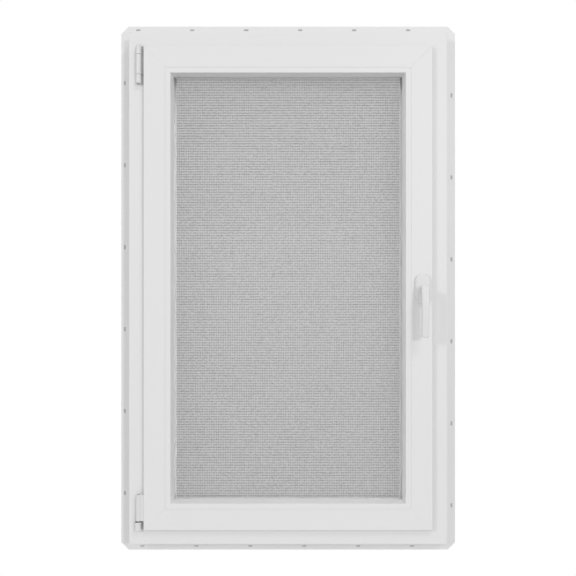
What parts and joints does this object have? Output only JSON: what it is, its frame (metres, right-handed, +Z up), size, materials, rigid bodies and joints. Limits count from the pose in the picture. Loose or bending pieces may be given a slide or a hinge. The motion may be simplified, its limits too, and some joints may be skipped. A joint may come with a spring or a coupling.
{
  "type": "tilt and turn window",
  "caption": "White vinyl tilt and turn window: a sealed glazed sash in a deep frame, with a lever handle, side hinges, an outside insect screen and a slotted nail fin.",
  "frame": {"origin": "on the bearing face of the bottom nail fin, halfway across the frame, on the line of the fin's slots", "axes": "+X to the right as seen from the room, +Y from the room to the outdoors, +Z up"},
  "size_m": [0.8066, 0.1545, 1.2637],
  "materials": {
    "white_vinyl": "satin",
    "clear_glass": "polished",
    "spacer_metal": "satin",
    "seal_rubber": "matt",
    "spline_rubber": "matt",
    "insect_mesh": "woven",
    "screen_paint": "satin",
    "handle_paint": "satin",
    "hinge_paint": "satin",
    "hinge_steel": "zinc plated"
  },
  "bodies": {
    "window": {"bead_head": "white_vinyl", "bead_hinge_side": "white_vinyl", "bead_lock_side": "white_vinyl", "bead_sill": "white_vinyl", "bottom_hinge_leaf": "hinge_paint", "bottom_hinge_pin": "hinge_steel", "bottom_hinge_pivot": "hinge_paint", "bottom_hinge_plate": "hinge_steel", "drain_covers": "white_vinyl", "frame_head": "white_vinyl", "frame_hinge_side": "white_vinyl", "frame_lock_side": "white_vinyl", "frame_sill": "white_vinyl", "glass_inner": "clear_glass", "glass_outer": "clear_glass", "glass_spacer": "spacer_metal", "handle_rose": "handle_paint", "nail_fin_head": "white_vinyl", "nail_fin_hinge_side": "white_vinyl", "nail_fin_lock_side": "white_vinyl", "nail_fin_sill": "white_vinyl", "sash_head": "white_vinyl", "sash_hinge_side": "white_vinyl", "sash_lock_side": "white_vinyl", "sash_sill": "white_vinyl", "screen_bottom": "screen_paint", "screen_clips": "screen_paint", "screen_hinge_side": "screen_paint", "screen_lock_side": "screen_paint", "screen_mesh": "insect_mesh", "screen_spline": "spline_rubber", "screen_top": "screen_paint", "seal_bead": "seal_rubber", "seal_outer": "seal_rubber", "seal_overlap": "seal_rubber", "seal_stop": "seal_rubber", "top_hinge_lower_knuckle": "hinge_paint", "top_hinge_pin": "hinge_steel", "top_hinge_plate": "hinge_steel", "top_hinge_sash_knuckle": "hinge_paint", "top_hinge_upper_knuckle": "hinge_paint"},
    "handle": {"handle_lever": "handle_paint"}
  },
  "joints": [
    {"name": "handle_turn", "type": "hinge", "parent": "window", "child": "handle", "pos_m": [0.31395, -0.0731, 0.62235], "axis": [0, 1, 0], "range_deg": [0, 180]}
  ]
}
